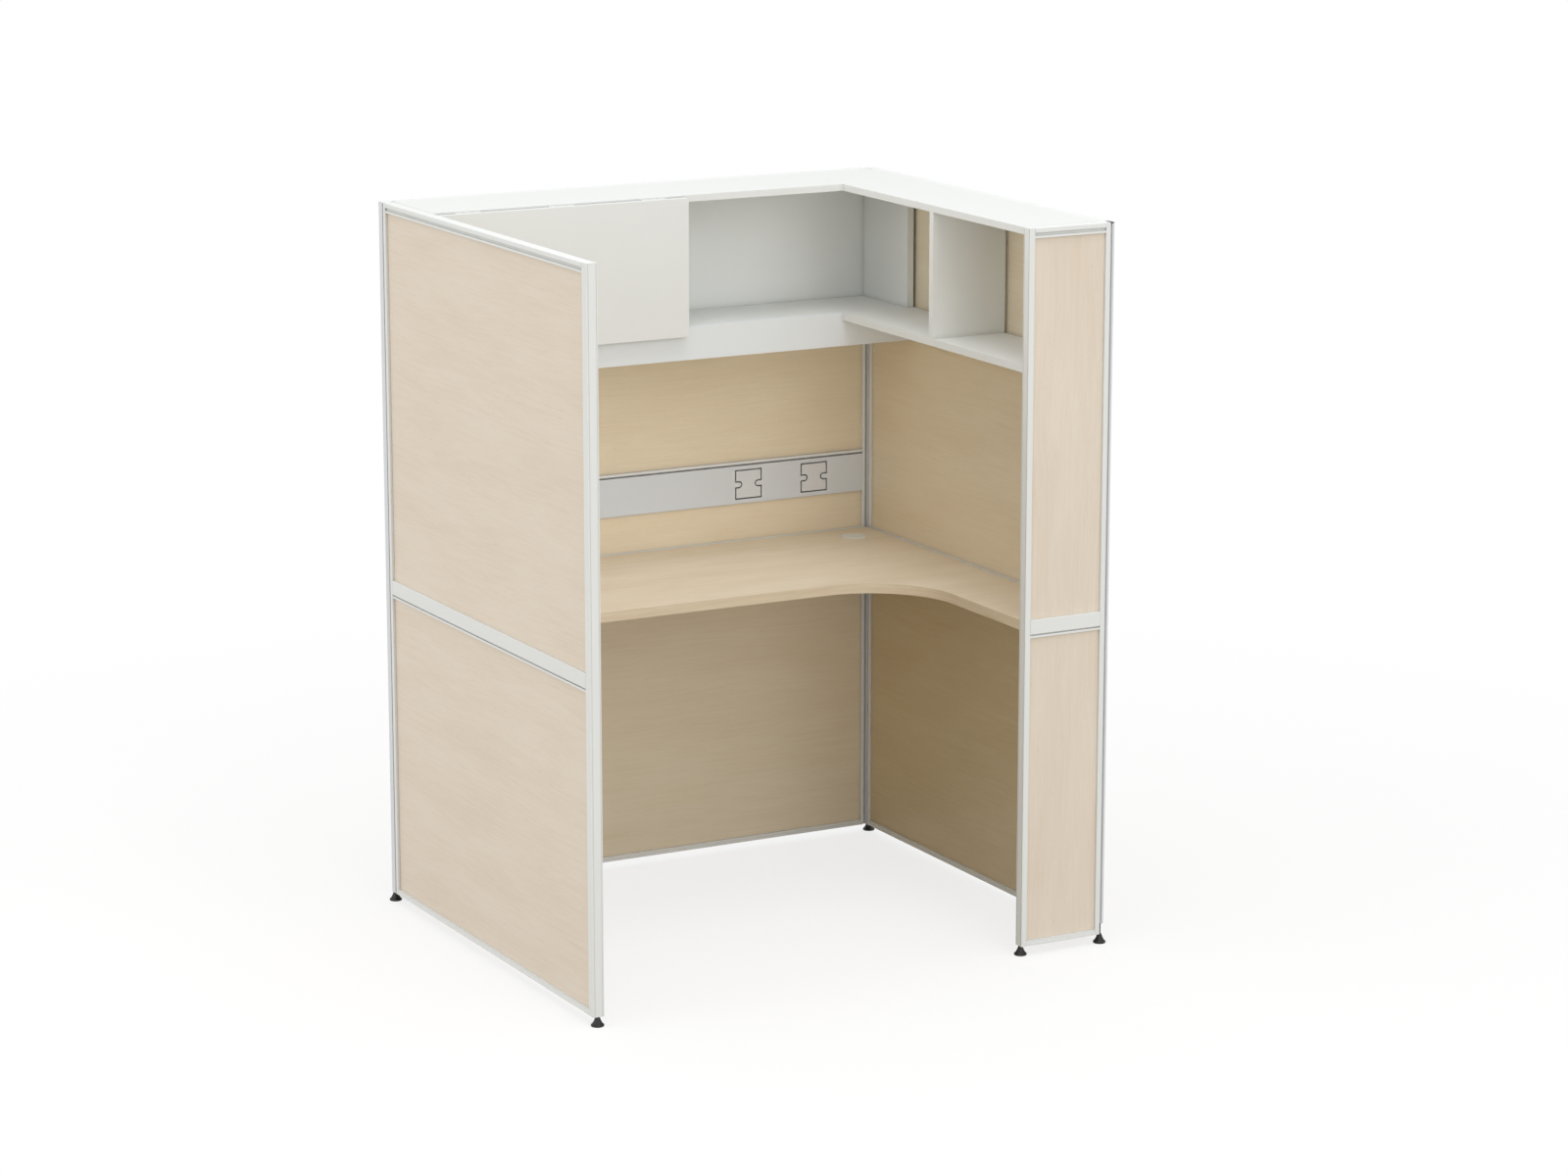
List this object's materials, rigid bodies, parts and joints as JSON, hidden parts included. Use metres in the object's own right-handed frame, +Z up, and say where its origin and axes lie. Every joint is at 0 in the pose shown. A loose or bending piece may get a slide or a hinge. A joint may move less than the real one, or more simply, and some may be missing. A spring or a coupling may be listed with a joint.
{
  "type": "cubicle workstation",
  "caption": "Framed wood panel cubicle with a narrow front return, an L-shaped curved worktop, an overhead shelf unit with a lift-up flap, a power duct and levelling feet.",
  "frame": {"origin": "on the floor, under the middle of the unit's bounding box", "axes": "+Z up, +Y towards the back wall, +X to the right along the back wall"},
  "size_m": [1.264, 1.064, 1.6],
  "materials": {
    "frame_white": "satin powder coat on hollow profiles",
    "post_grey": "satin powder coat",
    "maple_panel": "pale maple veneer, satin",
    "desk_laminate": "pale maple laminate, matt",
    "desk_edge": "edging strip, satin",
    "board_grey": "grey-white melamine, matt",
    "dowel_wood": "plain wood",
    "duct_grey": "satin coat",
    "blank_plastic": "matt plastic",
    "outlet_plastic": "matt plastic",
    "bracket_steel": "satin coat",
    "hinge_steel": "zinc plated",
    "black_plastic": "matt plastic"
  },
  "bodies": {
    "workstation": {"left_end_post": "frame_white", "left_rear_stile": "frame_white", "left_top_rail": "frame_white", "left_mid_rail": "frame_white", "left_bottom_rail": "frame_white", "left_upper_panel": "maple_panel", "left_lower_panel": "maple_panel", "back_left_stile": "frame_white", "back_right_stile": "frame_white", "back_top_rail": "frame_white", "back_mid_rail": "frame_white", "back_bottom_rail": "frame_white", "back_upper_panel": "maple_panel", "back_strip_panel": "maple_panel", "back_lower_panel": "maple_panel", "right_front_stile": "frame_white", "right_rear_stile": "frame_white", "right_top_rail": "frame_white", "right_mid_rail": "frame_white", "right_bottom_rail": "frame_white", "right_upper_panel": "maple_panel", "right_lower_panel": "maple_panel", "wing_end_post": "frame_white", "wing_corner_stile": "frame_white", "wing_top_rail": "frame_white", "wing_mid_rail": "frame_white", "wing_bottom_rail": "frame_white", "wing_upper_panel": "maple_panel", "wing_lower_panel": "maple_panel", "corner_post_back_left": "post_grey", "corner_post_back_right": "post_grey", "corner_post_front_right": "post_grey", "post_caps": "frame_white", "post_plugs": "black_plastic", "worktop": "desk_laminate", "worktop_edging": "desk_edge", "worktop_brackets": "bracket_steel", "outlet_sleeve": "outlet_plastic", "power_duct": "frame_white", "duct_cover": "duct_grey", "socket_blanks": "blank_plastic", "hutch_top": "board_grey", "hutch_shelf": "board_grey", "hutch_valance": "board_grey", "bay_uprights": "board_grey", "side_upright": "board_grey", "hutch_back_board": "board_grey", "hutch_dowels": "dowel_wood", "hinge_frame_leaves": "hinge_steel", "hinge_pins": "hinge_steel", "frame_screws": "hinge_steel"},
    "flap": {"flap_door": "board_grey", "hinge_flap_leaves": "hinge_steel", "flap_screws": "hinge_steel"},
    "outlet_cap": {"outlet_lid": "outlet_plastic"},
    "front_left_foot": {"foot_front_left": "black_plastic"},
    "back_left_foot": {"foot_back_left": "black_plastic"},
    "back_right_foot": {"foot_back_right": "black_plastic"},
    "wing_foot": {"foot_wing": "black_plastic"},
    "front_right_foot": {"foot_front_right": "black_plastic"}
  },
  "joints": [
    {"name": "flap_hinge", "type": "hinge", "parent": "workstation", "child": "flap", "pos_m": [-0.2925, 0.2863, 1.595], "axis": [-1, 0, 0], "range_deg": [0, 90]},
    {"name": "outlet_lid_lift", "type": "slide", "parent": "workstation", "child": "outlet_cap", "axis": [0, 0, 1], "range_m": [0, 0.02]},
    {"name": "front_left_foot_screw", "type": "slide", "parent": "workstation", "child": "front_left_foot", "axis": [0, 0, -1], "range_m": [0, 0.012]},
    {"name": "back_left_foot_screw", "type": "slide", "parent": "workstation", "child": "back_left_foot", "axis": [0, 0, -1], "range_m": [0, 0.012]},
    {"name": "back_right_foot_screw", "type": "slide", "parent": "workstation", "child": "back_right_foot", "axis": [0, 0, -1], "range_m": [0, 0.012]},
    {"name": "wing_foot_screw", "type": "slide", "parent": "workstation", "child": "wing_foot", "axis": [0, 0, -1], "range_m": [0, 0.012]},
    {"name": "front_right_foot_screw", "type": "slide", "parent": "workstation", "child": "front_right_foot", "axis": [0, 0, -1], "range_m": [0, 0.012]}
  ]
}
